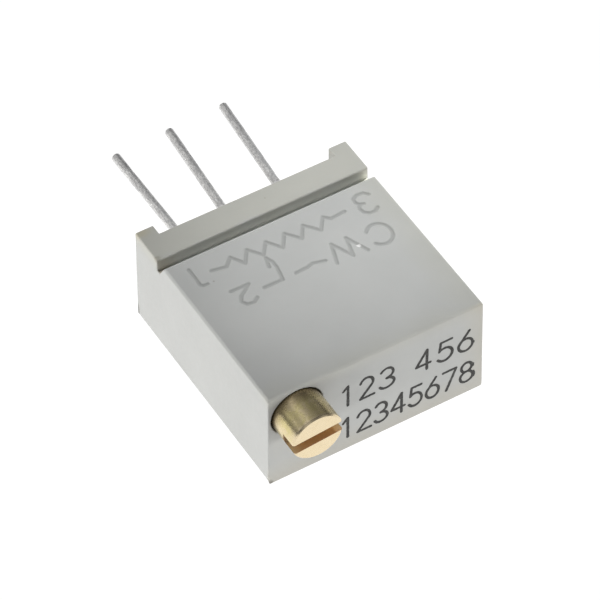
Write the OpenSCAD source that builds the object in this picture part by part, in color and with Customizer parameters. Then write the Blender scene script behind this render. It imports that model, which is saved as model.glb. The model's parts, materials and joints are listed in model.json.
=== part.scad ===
// Multiturn trimmer potentiometer, 3/8 inch square: a slotted brass worm screw
// turns a toothed rotor, and the rotor carries a spring wiper round a film
// track on a ceramic plate. It lies on its large plain face.
// X is the width, Y the length (screw head at -Y, leads at +Y), Z the thickness.
// The origin is the centre of the face that it lies on. All sizes in mm.

/* [Housing] */
// Width of the housing across X
body_w = 9.53; // [9.50:0.01:9.60]
// Length of the housing from the screw face to the end of the feet
body_l = 10.03; // [10.00:0.01:10.10]
// Thickness of the housing along Z
body_t = 4.83; // [4.80:0.01:4.90]
// Radius of the moulded outside edges
edge_r = 0.15; // [0.08:0.01:0.20]
// Width of each stand-off foot on the lead side
foot_w = 0.80; // [0.60:0.05:1.00]
// Height of the feet above the sealed face
foot_h = 0.49; // [0.30:0.01:0.60]
// Distance of the cross groove's upright wall from the screw face
groove_at = 8.34; // [8.25:0.01:8.45]
// Depth of the cross groove
groove_depth = 0.57; // [0.40:0.01:0.60]
// Width of the flat floor of the cross groove
groove_floor = 0.20; // [0.10:0.01:0.25]
// Run of the sloping side of the cross groove
groove_slope = 0.34; // [0.20:0.01:0.40]

/* [Adjustment screw] */
// Diameter of the screw head
head_d = 2.19; // [2.10:0.01:2.20]
// How far the head stands out of the housing
head_out = 1.52; // [1.20:0.01:1.80]
// Distance of the screw axis from the side and from the marked face
screw_edge = 1.27; // [1.26:0.01:1.30]
// Width of the driver slot
slot_w = 0.48; // [0.40:0.01:0.60]
// Depth of the driver slot
slot_depth = 0.72; // [0.50:0.01:0.90]
// Angle of the driver slot from the X axis, seen from the head
slot_angle = 4; // [-90:1:90]
// Radius of the screw's two plain bearings
journal_r = 0.92; // [0.90:0.01:0.93]

/* [Worm drive] */
// Teeth on the rotor, so also the screw turns for one rotor turn
teeth = 36; // [36:1:36]
// Pitch radius of the rotor's teeth
gear_r = 3.30; // [3.28:0.01:3.32]
// Pitch radius of the worm thread
worm_r = 0.75; // [0.74:0.01:0.76]
// Height of teeth and thread outside the pitch line
addendum = 0.15; // [0.12:0.01:0.16]
// Depth of teeth and thread inside the pitch line
dedendum = 0.20; // [0.19:0.01:0.22]
// Thickness of a rotor tooth on the pitch line
tooth_t = 0.21; // [0.16:0.01:0.22]
// Thickness of the worm thread on the pitch line
thread_t = 0.20; // [0.16:0.01:0.21]
// Turn of the rotor from mid travel in the drawn position, in degrees
rotor_rest = -2.5; // [-2.5:0.5:-2.5]

/* [Element] */
// Thickness of the ceramic plate
plate_t = 0.60; // [0.50:0.01:0.65]
// Thickness of the fired films
film_t = 0.03; // [0.02:0.005:0.03]
// Inner radius of the resistance track
track_in = 2.05; // [2.00:0.01:2.10]
// Outer radius of the resistance track
track_out = 2.75; // [2.70:0.01:2.78]
// Angle that the resistance track covers
track_angle = 260; // [250:1:270]

/* [Leads] */
// Diameter of the round leads
pin_d = 0.38; // [0.36:0.01:0.40]
// Thickness of the tin that the leads are dipped in once they are sealed in
tin_t = 0.01; // [0.005:0.005:0.02]
// Distance between neighbouring leads where they leave the body
pin_pitch = 2.54; // [2.50:0.01:2.58]
// Shift of each lead along X at its slight bend outside the body
pin_bend = [0.235, -0.12, -0.135]; // [-0.3:0.005:0.3]
// Shift of each lead's end along X
pin_lean = [0.19, 0.19, 0.23]; // [-0.3:0.01:0.3]
// Where each lead ends along Y
pin_end = [11.15, 11.27, 11.38]; // [10.8:0.01:11.5]

/* [Hidden] */
$fn = 64;

// housing
hw = body_w / 2;
y_front = -body_l / 2;
y_back = body_l / 2;
y_seal = y_back - foot_h;
wall = 0.565;
cav_x = hw - wall;
cav_front = y_front + 0.815;
cav_z0 = 0.62;
cav_z1 = 3.92;
groove_y = y_front + groove_at;

// screw
sx = -hw + screw_edge;
sz = body_t - screw_edge;
head_r = head_d / 2;
run = 0.03;                       // radial running clearance
y_head = y_front - head_out;
y_shoulder = y_front + 0.265;     // underside of the head, inside its counterbore
y_worm0 = -2.45;
y_worm1 = 1.15;
y_tail = 1.95;
tail_r = 0.35;
groove_r = 0.62;                  // bottom of the O-ring groove and the clip groove
clip_y = -3.52;
clip_t = 0.25;

// rotor
pitch = 2 * PI * gear_r / teeth;
gx = sx + gear_r + worm_r;        // rotor axis
gy = -0.60;
gz0 = 3.20;                       // underside and top of the toothed disc
gz1 = 3.85;
pa = 20;                          // pressure angle
worm_root = worm_r - dedendum;
worm_tip = worm_r + addendum;
gear_root = gear_r - dedendum;
gear_tip = gear_r + addendum;

// element
pin_z = body_t / 2;
film_z = pin_z - pin_d / 2 - 0.01 - film_t;   // top of the ceramic plate
plate_y0 = cav_front + 0.05;
plate_y1 = 3.60;
plate_x = cav_x - 0.05;
hub_r = 0.62;
pivot_r = 0.50;
rub = 0.01;                       // gap left under the wiper's contacts
pin_y0 = 2.85;
wire_r = pin_d / 2 - tin_t;       // bare wire inside the body
seal_y = y_seal - 0.06;           // outer face of the sealant
pad_y0 = 2.70;
pad_y1 = 3.50;
base_y0 = 3.65;
base_y1 = 4.00;

// ---------------------------------------------------------------- helpers
function arc(cx, cy, r, a0, a1, n = 4) =
    [for (i = [0:n]) [cx + r * cos(a0 + (a1 - a0) * i / n), cy + r * sin(a0 + (a1 - a0) * i / n)]];

// a rectangle with one radius for each corner, in the order -- +- ++ -+
function round_rect(x0, x1, y0, y1, r) = concat(
    arc(x0 + r[0], y0 + r[0], r[0], 180, 270),
    arc(x1 - r[1], y0 + r[1], r[1], 270, 360),
    arc(x1 - r[2], y1 - r[2], r[2], 0, 90),
    arc(x0 + r[3], y1 - r[3], r[3], 90, 180));

// an outline in (Y, Z) drawn out along X, from x0 to x1
module along_x(x0, x1) translate([x0, 0, 0]) rotate([90, 0, 90]) linear_extrude(height = x1 - x0) children();
// an outline in (X, Z) drawn out along Y, from y0 to y1
module along_y(y0, y1) translate([0, y1, 0]) rotate([90, 0, 0]) linear_extrude(height = y1 - y0) children();
module box(x0, x1, y0, y1, z0, z1) translate([x0, y0, z0]) cube([x1 - x0, y1 - y0, z1 - z0]);
// a round bar along +Y from y0 to y1
module bar(x, z, r, y0, y1) translate([x, y0, z]) rotate([-90, 0, 0]) cylinder(r = r, h = y1 - y0);

// ---------------------------------------------------------------- housing
module outer_block() {
    e = edge_r;
    intersection() {
        linear_extrude(height = body_t) polygon(round_rect(-hw, hw, y_front, y_back, [e, e, e, e]));
        along_x(-hw - 1, hw + 1) polygon(round_rect(y_front, y_back, 0, body_t, [e * 1.2, e * 1.7, e, e]));
        along_y(y_front - 1, y_back + 1) polygon(round_rect(-hw, hw, 0, body_t, [e, e, e, e]));
    }
}

module groove_outline() {
    top = body_t + 0.4;
    f = groove_y - groove_floor;
    polygon([[groove_y, top], [f - groove_slope * (top - body_t + groove_depth) / groove_depth, top],
             [f, body_t - groove_depth], [groove_y, body_t - groove_depth]]);
}

// the block that carries the screw's front bearing and the clip's slot
module screw_block() box(-cav_x - 0.1, -2.20, cav_front - 0.1, -2.90, 2.50, cav_z1 + 0.1);
// the web that carries the screw's tail
module tail_web() box(-cav_x - 0.1, -2.92, y_worm1 + 0.20, 2.10, 2.75, cav_z1 + 0.1);
// the stop for the rotor's lug, on the inside of the screw face
module stop_ledge() box(gx - 1, gx + 1, cav_front - 0.1, gy - 2.82, 2.87, 3.08);

module housing() color([0.71, 0.72, 0.71]) {
    difference() {
        union() {
            difference() {
                outer_block();
                // the sealed face lies back between the two feet
                box(-hw + foot_w, hw - foot_w, y_seal, y_back + 1, -1, body_t + 1);
                along_x(-hw - 1, hw + 1) groove_outline();
                // the cavity, open on the lead side
                box(-cav_x, cav_x, cav_front, y_back + 1, cav_z0, cav_z1);
            }
            screw_block();
            tail_web();
            stop_ledge();
            // ribs that carry the ceramic plate
            for (x = [-3.6, 0, 3.6]) box(x - 0.25, x + 0.25, cav_front - 0.1, plate_y1, cav_z0 - 0.1, film_z - plate_t);
        }
        // the screw's way through the housing
        bar(sx, sz, head_r + 0.035, y_front - 1, y_shoulder + run);
        bar(sx, sz, journal_r + run, y_front, y_worm1 + 0.20);
        bar(sx, sz, tail_r + run, y_worm1, y_tail + 0.08);
        // the slot that the retaining clip is pushed up into
        box(sx - 1.02, sx + 1.02, clip_y - clip_t / 2 - 0.02, clip_y + clip_t / 2 + 0.02, 2.40, 4.14);
    }
}

// ---------------------------------------------------------------- adjustment screw
// The threaded length is one closed surface. Four helical lines follow the thread,
// at the foot and the crest of each flank, and a flat ring closes each end. The
// thread rises out of the core over the first third of a turn and sinks back into
// it over the last. The space that faces the rotor is centred on a rotor tooth.
thread_turns = 5;
seg = 16;                          // steps in one turn
hc = thread_t / 2 - addendum * tan(pa);
hf = thread_t / 2 + dedendum * tan(pa);
function thread_point(line, m) = let (
        s = m / seg, fade = min(1, min(s, thread_turns - s) * 3),
        r = worm_root + (line == 1 || line == 2 ? (worm_tip - worm_root) * fade : 0),
        z = gy + (s - thread_turns / 2) * pitch + [-hf, -hc, hc, hf][line])
    [r * cos(360 * s), r * sin(360 * s), z];
function core_ring(z) = [for (i = [0:seg - 1]) [worm_root * cos(360 * i / seg), worm_root * sin(360 * i / seg), z]];

module worm(z0, z1) {
    count = thread_turns * seg;    // steps along the thread
    rows = count + 1;
    // index of a point on a helical line, on the lower ring and on the upper ring
    p = function (line, m) line * rows + m;
    lo = function (i) 4 * rows + i % seg;
    hi = function (i) 4 * rows + seg + i % seg;
    last = count - seg;
    points = concat([for (line = [0:3], m = [0:count]) thread_point(line, m)], core_ring(z0), core_ring(z1));
    faces = concat(
        [for (line = [0:2], m = [0:count - 1]) each
            [[p(line, m), p(line + 1, m), p(line + 1, m + 1)], [p(line, m), p(line + 1, m + 1), p(line, m + 1)]]],
        // root land between one turn and the next
        [for (m = [0:last - 1]) each
            [[p(3, m), p(0, m + seg), p(0, m + seg + 1)], [p(3, m), p(0, m + seg + 1), p(3, m + 1)]]],
        // from the lower ring up to the first turn
        [for (i = [0:seg - 2]) each [[lo(i), p(0, i), p(0, i + 1)], [lo(i), p(0, i + 1), lo(i + 1)]]],
        [for (q = [[lo(seg - 1), lo(0)], [lo(0), p(0, 0)], [p(0, 0), p(1, 0)], [p(1, 0), p(2, 0)], [p(2, 0), p(3, 0)], [p(3, 0), p(0, seg)]])
            [p(0, seg - 1), q[1], q[0]]],
        // from the last turn up to the upper ring
        [for (i = [1:seg - 1]) each [[p(3, last + i), hi(i), hi(i + 1)], [p(3, last + i), hi(i + 1), p(3, last + i + 1)]]],
        [for (q = [[p(3, last), p(0, count)], [p(0, count), p(1, count)], [p(1, count), p(2, count)], [p(2, count), p(3, count)], [p(3, count), hi(0)], [hi(0), hi(1)]])
            [p(3, last + 1), q[0], q[1]]],
        [[for (i = [0:seg - 1]) lo(i)]],
        [[for (i = [seg - 1:-1:0]) hi(i)]]);
    polyhedron(points = points, faces = faces, convexity = 10);
}

module adjustment_screw() color([0.86, 0.70, 0.38]) {
    c = 0.10;
    p = [[0, y_head], [head_r - c, y_head], [head_r, y_head + c], [head_r, y_shoulder],
         [journal_r, y_shoulder], [journal_r, -4.62], [groove_r, -4.62], [groove_r, -4.20],
         [journal_r, -4.20], [journal_r, clip_y - 0.16], [groove_r, clip_y - 0.16],
         [groove_r, clip_y + 0.16], [journal_r, clip_y + 0.16], [journal_r, y_worm0 - 0.03],
         [journal_r - 0.03, y_worm0], [0, y_worm0]];
    translate([sx, 0, sz]) rotate([-90, 0, 0]) {
        difference() {
            rotate_extrude() polygon(p);
            rotate([0, 0, -slot_angle]) translate([-head_r - 1, -slot_w / 2, y_head - 1])
                cube([2 * head_r + 2, slot_w, slot_depth + 1]);
        }
        worm(y_worm0 - 0.10, y_worm1);
        rotate_extrude() polygon([[0, y_worm1 - 0.10], [tail_r, y_worm1 - 0.10], [tail_r, y_tail - 0.06], [tail_r - 0.06, y_tail], [0, y_tail]]);
    }
}

module screw_o_ring() color([0.72, 0.20, 0.10])
    translate([sx, -4.41, sz]) rotate([-90, 0, 0])
        rotate_extrude() translate([0.785, 0]) circle(r = 0.155);

module screw_retainer_clip() color([0.75, 0.75, 0.77])
    along_y(clip_y - clip_t / 2, clip_y + clip_t / 2)
        polygon(concat(
            [[sx - 1.0, 2.35], [sx - 0.9, 2.25], [sx + 0.9, 2.25], [sx + 1.0, 2.35],
             [sx + 1.0, 4.02], [sx + 0.92, 4.10], [sx + 0.72, 4.10], [sx + groove_r + 0.03, 3.98]],
            [[sx + groove_r + 0.03, sz]],
            arc(sx, sz, groove_r + 0.03, 0, -180, 12),
            [[sx - groove_r - 0.03, 3.98], [sx - 0.72, 4.10], [sx - 0.92, 4.10], [sx - 1.0, 4.02]]));

// ---------------------------------------------------------------- rotor
function inv(a) = tan(a) * 180 / PI - a;
// half the angle that a tooth covers at radius r: both flanks are involutes
function tooth_half(r) = tooth_t / 2 / gear_r * 180 / PI + inv(pa) - (r > gear_r * cos(pa) ? inv(acos(gear_r * cos(pa) / r)) : 0);
flank = [for (i = [0:3]) gear_root + (gear_tip - gear_root) * i / 3];
gear_outline = [for (k = [0:teeth - 1]) each concat(
    [for (r = flank) let (a = k * 360 / teeth - tooth_half(r)) [r * cos(a), r * sin(a)]],
    [for (i = [3:-1:0]) let (r = flank[i], a = k * 360 / teeth + tooth_half(r)) [r * cos(a), r * sin(a)]])];

// places children in the rotor's frame, with the wiper's contact towards -Y at mid travel
module on_rotor() translate([gx, gy, 0]) rotate([0, 0, rotor_rest]) children();

stakes = [[1.40, 0.55], [1.40, -0.75]];

module rotor_gear() color([0.93, 0.92, 0.87]) {
    // the teeth are in mesh with the thread in the drawn position
    translate([gx, gy, gz0]) linear_extrude(height = gz1 - gz0) polygon(gear_outline);
    translate([gx, gy, 0]) {
        // thrust ring that rubs on the roof of the housing
        translate([0, 0, gz1 - 0.01]) difference() { cylinder(r = 1.30, h = 0.06); translate([0, 0, -1]) cylinder(r = 1.00, h = 3); }
        translate([0, 0, film_z + 0.015]) cylinder(r = hub_r, h = gz0 - film_z);
        translate([0, 0, film_z - plate_t + 0.06]) cylinder(r = pivot_r, h = 1);
    }
    on_rotor() {
        // lug under the rim, opposite the wiper, that meets the stop at each end of travel
        translate([0, 0, 2.90]) rotate([0, 0, 56]) rotate_extrude(angle = 68) translate([2.85, 0]) square([gear_root - 2.85, gz0 - 2.90 + 0.05]);
        for (s = stakes) translate([s[0], s[1], 0]) {
            translate([0, 0, gz0 - 0.15]) cylinder(r = 0.12, h = 0.2);
            translate([0, 0, gz0 - 0.16]) cylinder(r1 = 0.15, r2 = 0.21, h = 0.08);
        }
    }
}

wiper_t = 0.08;
tip_r = 0.06;
// a spring finger at distance y, from the plate's edge down to a round contact at tip_x
module finger(y, w, tip_x) {
    x0 = 0.95;
    z0 = gz0 - wiper_t / 2;
    z1 = film_z + film_t + rub + tip_r;
    a = atan2(z0 - z1, x0 - tip_x);
    translate([tip_x, y, z1]) {
        rotate([90, 0, 0]) cylinder(r = tip_r, h = w, center = true);
        rotate([0, -a, 0]) translate([0, -w / 2, -0.03]) cube([norm([z0 - z1, x0 - tip_x]), w, 0.06]);
    }
}

module wiper_contact() color([0.80, 0.72, 0.55])
    on_rotor() rotate([0, 0, atan2(0.60, 2.36)]) difference() {
        union() {
            box(0.80, 1.90, -1.30, 1.00, gz0 - wiper_t, gz0);
            box(0.72, 1.00, -2.60, -1.20, gz0 - wiper_t, gz0);
            for (y = [-2.18, -2.36, -2.54]) finger(y, 0.12, -0.60);
            for (y = [-0.92, -1.10]) finger(y, 0.12, -0.30);
        }
        for (s = stakes) rotate([0, 0, -atan2(0.60, 2.36)]) translate([s[0], s[1], 0]) cylinder(r = 0.13, h = 10);
    }

// ---------------------------------------------------------------- element
module ceramic_substrate() color([0.93, 0.92, 0.88])
    difference() {
        box(-plate_x, plate_x, plate_y0, plate_y1, film_z - plate_t, film_z);
        translate([gx, gy, 0]) cylinder(r = pivot_r + run, h = 10);
    }

// part of a flat ring of film, from angle a0 to a1 about the rotor axis
module film_arc(r0, r1, a0, a1)
    translate([gx, gy, film_z]) rotate([0, 0, a0]) rotate_extrude(angle = a1 - a0) translate([r0, 0]) square([r1 - r0, film_t]);

module resistive_track() color([0.13, 0.12, 0.12])
    film_arc(track_in, track_out, 270 - track_angle / 2, 270 + track_angle / 2);

module pad(x, w = 0.9) box(x - w / 2, x + w / 2, pad_y0, pad_y1, film_z, film_z + film_t);

module collector_track() color([0.75, 0.74, 0.72]) {
    translate([gx, gy, film_z]) difference() { cylinder(r = 1.25, h = film_t); translate([0, 0, -1]) cylinder(r = 0.75, h = 3); }
    translate([0, 0, film_z]) linear_extrude(height = film_t)
        polygon([[gx - 0.25, gy + 1.00], [gx + 0.25, gy + 1.00], [0.25, pad_y0 + 0.1], [-0.25, pad_y0 + 0.1]]);
    pad(0);
}

// an end pad: a piece of ring that meets the track's end, a leg and a pad; side is -1 or +1
module end_pad(side) {
    a = track_angle / 2;
    a0 = side > 0 ? 270 + a : 270 - a - 12;
    film_arc(track_in, track_out, a0, a0 + 12);
    m = a0 + 6;
    px = gx + 2.40 * cos(m);
    py = gy + 2.40 * sin(m);
    translate([0, 0, film_z]) linear_extrude(height = film_t)
        polygon([[px - 0.28, py], [px + 0.28, py], [side * pin_pitch + 0.28, pad_y0 + 0.1], [side * pin_pitch - 0.28, pad_y0 + 0.1]]);
    pad(side * pin_pitch);
}
module end_pad_1() color([0.75, 0.74, 0.72]) end_pad(-1);
module end_pad_3() color([0.75, 0.74, 0.72]) end_pad(1);

// ---------------------------------------------------------------- leads
// the heading of a to b in the plane z = pin_z, measured from +Y towards +X
function heading(a, b) = atan2(b[0] - a[0], b[1] - a[1]);

// round bar from a to b, short of both ends by gap; the end at b is broken by c
module lead_run(a, b, r, c = 0, gap = 0.03) {
    g = c > 0 ? 0 : gap;
    h = norm(b - a) - g;
    translate([a[0], a[1], pin_z]) rotate([0, 0, -heading(a, b)]) rotate([-90, 0, 0])
        if (c > 0) rotate_extrude() polygon([[0, gap], [r, gap], [r, h - c], [r - c, h], [0, h]]);
        else translate([0, 0, gap]) cylinder(r = r, h = h - gap);
}

module terminal_pin(i) {
    r = pin_d / 2;
    x = (i - 1) * pin_pitch;
    a = [x, 5.45];
    b = [x + pin_bend[i], 6.35];
    e = [x + pin_lean[i], pin_end[i]];
    color([0.70, 0.70, 0.69]) {
        translate([x, seal_y, pin_z]) rotate([-90, 0, 0]) cylinder(r = r, h = a[1] - 0.03 - seal_y);
        bar(x, pin_z, wire_r, pin_y0, seal_y + 0.1);
        lead_run(a, b, r);
        lead_run(b, e, r, 0.05);
        for (v = [a, b]) translate([v[0], v[1], pin_z]) rotate([0, 0, -heading(a, b)]) rotate([-90, 0, 0]) sphere(r = r * 1.03);
    }
}
module terminal_pin_1() terminal_pin(0);
module terminal_pin_2() terminal_pin(1);
module terminal_pin_3() terminal_pin(2);

// solder run up round the end of a lead on its pad
module solder_joint(i) color([0.78, 0.78, 0.76]) {
    x = (i - 1) * pin_pitch;
    difference() {
        union() {
            bar(x, film_z + film_t + 0.13, 0.37, 3.02, 3.25);
            translate([x, 3.02, film_z + film_t + 0.13]) sphere(r = 0.37);
            translate([x, 3.25, film_z + film_t + 0.13]) sphere(r = 0.37);
        }
        box(x - 1, x + 1, 2, 4, 0, film_z + film_t);
        bar(x, pin_z, wire_r, pin_y0, 5);
    }
}
module solder_joint_1() solder_joint(0);
module solder_joint_2() solder_joint(1);
module solder_joint_3() solder_joint(2);

// plate that locates the leads and keeps the sealant out of the works
module terminal_base() color([0.55, 0.56, 0.56])
    difference() {
        box(-cav_x + 0.02, cav_x - 0.02, base_y0, base_y1, cav_z0 + 0.02, cav_z1 - 0.02);
        for (i = [-1:1]) bar(i * pin_pitch, pin_z, wire_r + 0.01, base_y0 - 1, base_y1 + 1);
    }

module epoxy_seal() color([0.80, 0.77, 0.66])
    difference() {
        box(-cav_x, cav_x, base_y1, seal_y, cav_z0, cav_z1);
        for (i = [-1:1]) bar(i * pin_pitch, pin_z, wire_r, base_y1 - 1, y_seal + 1);
    }

housing();
adjustment_screw();
screw_o_ring();
screw_retainer_clip();
rotor_gear();
wiper_contact();
ceramic_substrate();
resistive_track();
collector_track();
end_pad_1();
end_pad_3();
terminal_pin_1();
terminal_pin_2();
terminal_pin_3();
solder_joint_1();
solder_joint_2();
solder_joint_3();
terminal_base();
epoxy_seal();
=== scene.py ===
import json
import math
import bpy
import bmesh
import numpy as np
from mathutils import Matrix, Vector
from mathutils.geometry import delaunay_2d_cdt


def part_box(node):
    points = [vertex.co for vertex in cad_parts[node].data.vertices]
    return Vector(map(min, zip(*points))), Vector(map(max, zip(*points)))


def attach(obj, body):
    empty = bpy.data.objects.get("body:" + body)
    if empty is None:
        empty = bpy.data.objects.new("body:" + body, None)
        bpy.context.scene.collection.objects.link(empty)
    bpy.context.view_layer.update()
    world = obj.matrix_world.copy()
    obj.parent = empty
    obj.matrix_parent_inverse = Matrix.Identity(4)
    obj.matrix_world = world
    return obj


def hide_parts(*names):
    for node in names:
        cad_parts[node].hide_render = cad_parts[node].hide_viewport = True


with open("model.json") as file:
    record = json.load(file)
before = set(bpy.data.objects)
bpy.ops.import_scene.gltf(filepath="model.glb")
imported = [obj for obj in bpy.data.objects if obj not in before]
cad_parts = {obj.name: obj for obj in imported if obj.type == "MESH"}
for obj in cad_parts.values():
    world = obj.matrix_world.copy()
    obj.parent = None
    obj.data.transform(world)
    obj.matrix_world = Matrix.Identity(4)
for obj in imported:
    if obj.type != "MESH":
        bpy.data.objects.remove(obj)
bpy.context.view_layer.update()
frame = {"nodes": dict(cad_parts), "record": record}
nodes = frame["nodes"]
scene = bpy.context.scene

# ------------------------------------------------------------------ sizes, in mm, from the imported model
MM = 1000.0


def box_mm(name):
    lo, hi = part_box(name)
    return [v * MM for v in lo], [v * MM for v in hi]


H_LO, H_HI = box_mm("housing")
HW, Y0, Y1, TOP = H_HI[0], H_LO[1], H_HI[1], H_HI[2]
SLOT_TILT, SLOT_OFF = 5.0, -0.045      # the sawn slot: degrees off level, and how far it misses the axis
S_LO, S_HI = box_mm("adjustment_screw")
HEAD_R = (S_HI[0] - S_LO[0]) / 2
SX, SZ, Y_HEAD = (S_LO[0] + S_HI[0]) / 2, (S_LO[2] + S_HI[2]) / 2, S_LO[1]
E_LO, E_HI = box_mm("epoxy_seal")
FOOT_W, FOOT_H = 0.80, 0.49
Y_SEAL = Y1 - FOOT_H
G_WALL, G_FLOOR, G_DEEP, G_SLOPE = Y0 + 8.34, 0.20, 0.57, 0.34
CAV_X, CAV_Y, CAV_Z0, CAV_Z1 = E_HI[0], Y0 + 0.815, E_LO[2], E_HI[2]
ROTOR = (0.555, -0.60)


# ------------------------------------------------------------------ small helpers
def link(name, mesh):
    ob = bpy.data.objects.new(name, mesh)
    scene.collection.objects.link(ob)
    return ob


def from_bm(name, bm):
    mesh = bpy.data.meshes.new(name)
    bm.to_mesh(mesh)
    bm.free()
    return link(name, mesh)


def bake_modifiers(ob):
    dg = bpy.context.evaluated_depsgraph_get()
    mesh = bpy.data.meshes.new_from_object(ob.evaluated_get(dg))
    ob.modifiers.clear()
    old = ob.data
    ob.data = mesh
    bpy.data.meshes.remove(old)
    return ob


def discard(ob):
    mesh = ob.data
    bpy.data.objects.remove(ob)
    bpy.data.meshes.remove(mesh)


def boolean(ob, other, how="DIFFERENCE", keep=False):
    m = ob.modifiers.new("cut", "BOOLEAN")
    m.operation, m.solver, m.object = how, "EXACT", other
    bpy.context.view_layer.update()
    bake_modifiers(ob)
    if not keep:
        discard(other)
    return ob


def make_box(name, x0, x1, y0, y1, z0, z1):
    bm = bmesh.new()
    bmesh.ops.create_cube(bm, size=1.0)
    for v in bm.verts:
        v.co = Vector((x0 if v.co.x < 0 else x1, y0 if v.co.y < 0 else y1, z0 if v.co.z < 0 else z1))
    return from_bm(name, bm)


def prism(name, outline, axis, a, b):
    """A polygon drawn out along an axis: outline is (x, y) for Z and (y, z) for X."""
    bm = bmesh.new()
    put = (lambda p, t: Vector((p[0], p[1], t))) if axis == "Z" else (lambda p, t: Vector((t, p[0], p[1])))
    low = [bm.verts.new(put(p, a)) for p in outline]
    high = [bm.verts.new(put(p, b)) for p in outline]
    n = len(outline)
    bm.faces.new(low[::-1])
    bm.faces.new(high)
    for i in range(n):
        bm.faces.new((low[i], low[(i + 1) % n], high[(i + 1) % n], high[i]))
    bmesh.ops.recalc_face_normals(bm, faces=bm.faces)
    return from_bm(name, bm)


def lathe(name, profile, steps, x, z):
    """profile is (radius, y) from the axis back to the axis, turned about the line through (x, z) along Y."""
    bm = bmesh.new()
    rings = []
    for r, y in profile:
        if r < 1e-9:
            rings.append([bm.verts.new((x, y, z))])
        else:
            rings.append([bm.verts.new((x + r * math.cos(2 * math.pi * i / steps), y, z + r * math.sin(2 * math.pi * i / steps))) for i in range(steps)])
    for a, b in zip(rings, rings[1:]):
        for i in range(steps):
            j = (i + 1) % steps
            if len(a) == 1:
                bm.faces.new((a[0], b[i], b[j]))
            elif len(b) == 1:
                bm.faces.new((a[i], b[0], a[j]))
            else:
                bm.faces.new((a[i], b[i], b[j], a[j]))
    bmesh.ops.recalc_face_normals(bm, faces=bm.faces)
    return from_bm(name, bm)


def arc(cx, cy, r, a0, a1, n):
    return [(cx + r * math.cos(math.radians(a0 + (a1 - a0) * i / n)), cy + r * math.sin(math.radians(a0 + (a1 - a0) * i / n))) for i in range(n + 1)]


def value_noise(x, y, seed, scale):
    """Smooth repeatable noise from -1 to 1 on a plane."""
    x, y = np.asarray(x, float) * scale, np.asarray(y, float) * scale
    ix, iy = np.floor(x), np.floor(y)
    fx, fy = x - ix, y - iy
    fx, fy = fx * fx * (3 - 2 * fx), fy * fy * (3 - 2 * fy)

    def h(i, j):
        s = np.sin(i * 127.1 + j * 311.7 + seed * 74.7) * 43758.5453
        return (s - np.floor(s)) * 2 - 1

    return (h(ix, iy) * (1 - fx) + h(ix + 1, iy) * fx) * (1 - fy) + (h(ix, iy + 1) * (1 - fx) + h(ix + 1, iy + 1) * fx) * fy


# ------------------------------------------------------------------ strokes: a drawing of thin lines as a distance field
def polyline(points, closed=False):
    pts = list(points) + ([points[0]] if closed else [])
    return [(*a, *b) for a, b in zip(pts, pts[1:])]


def distance(px, py, segs):
    px, py = np.asarray(px, float), np.asarray(py, float)
    best = np.full(px.shape, 1e9)
    for x0, y0, x1, y1 in segs:
        dx, dy = x1 - x0, y1 - y0
        t = np.clip(((px - x0) * dx + (py - y0) * dy) / max(dx * dx + dy * dy, 1e-12), 0, 1)
        best = np.minimum(best, np.hypot(px - x0 - t * dx, py - y0 - t * dy))
    return best


def contours(field, x0, y0, h, level):
    """Closed lines where the field crosses the level, each as a list of points."""
    f = field - level
    inside = f < 0
    ny, nx = f.shape
    c = inside[:-1, :-1] * 1 + inside[:-1, 1:] * 2 + inside[1:, 1:] * 4 + inside[1:, :-1] * 8
    pairs = {1: [(3, 0)], 2: [(0, 1)], 3: [(3, 1)], 4: [(1, 2)], 6: [(0, 2)], 7: [(3, 2)], 8: [(2, 3)], 9: [(2, 0)], 11: [(2, 1)], 12: [(1, 3)], 13: [(1, 0)], 14: [(0, 3)],
             5: [(3, 0), (1, 2)], 10: [(0, 1), (2, 3)]}
    points, after = {}, {}

    def edge(i, j, k):
        if k == 0:
            return (i, j, 0)
        if k == 1:
            return (i + 1, j, 1)
        if k == 2:
            return (i, j + 1, 0)
        return (i, j, 1)

    def place(e):
        i, j, d = e
        i2, j2 = (i + 1, j) if d == 0 else (i, j + 1)
        a, b = f[j, i], f[j2, i2]
        t = a / (a - b)
        return (x0 + h * (i + t * (i2 - i)), y0 + h * (j + t * (j2 - j)))

    for j, i in zip(*np.nonzero((c > 0) & (c < 15))):
        for a, b in pairs[int(c[j, i])]:
            ea, eb = edge(i, j, a), edge(i, j, b)
            for e in (ea, eb):
                if e not in points:
                    points[e] = place(e)
            after.setdefault(ea, []).append(eb)
            after.setdefault(eb, []).append(ea)
    loops, seen = [], set()
    for start in after:
        if start in seen:
            continue
        loop, previous, here = [], None, start
        while here not in seen:
            seen.add(here)
            loop.append(points[here])
            options = [e for e in after[here] if e not in seen]
            if not options:
                break
            here = options[0]
        if len(loop) > 5:
            loops.append(loop)
    return loops


def thin(loop, gap):
    """Drops points that crowd the one before them."""
    out = [loop[0]]
    for p in loop[1:]:
        if math.dist(p, out[-1]) >= gap:
            out.append(p)
    while len(out) > 3 and math.dist(out[0], out[-1]) < gap * 0.6:
        out.pop()
    return out


def stroke_field(segs, reach, h, ragged=None):
    xs = [v for s in segs for v in (s[0], s[2])]
    ys = [v for s in segs for v in (s[1], s[3])]
    x0, y0 = min(xs) - reach, min(ys) - reach
    nx, ny = int((max(xs) + reach - x0) / h) + 2, int((max(ys) + reach - y0) / h) + 2
    gx, gy = np.meshgrid(x0 + h * np.arange(nx), y0 + h * np.arange(ny))
    d = distance(gx, gy, segs)
    if ragged:
        d = d + ragged(gx, gy)
    return d, x0, y0


# ------------------------------------------------------------------ plain glyphs, one stroke wide, on a box one unit high
def ellipse(cx, cy, rx, ry, a0, a1, n=18):
    return [(cx + rx * math.cos(math.radians(a0 + (a1 - a0) * i / n)), cy + ry * math.sin(math.radians(a0 + (a1 - a0) * i / n))) for i in range(n + 1)]


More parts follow.
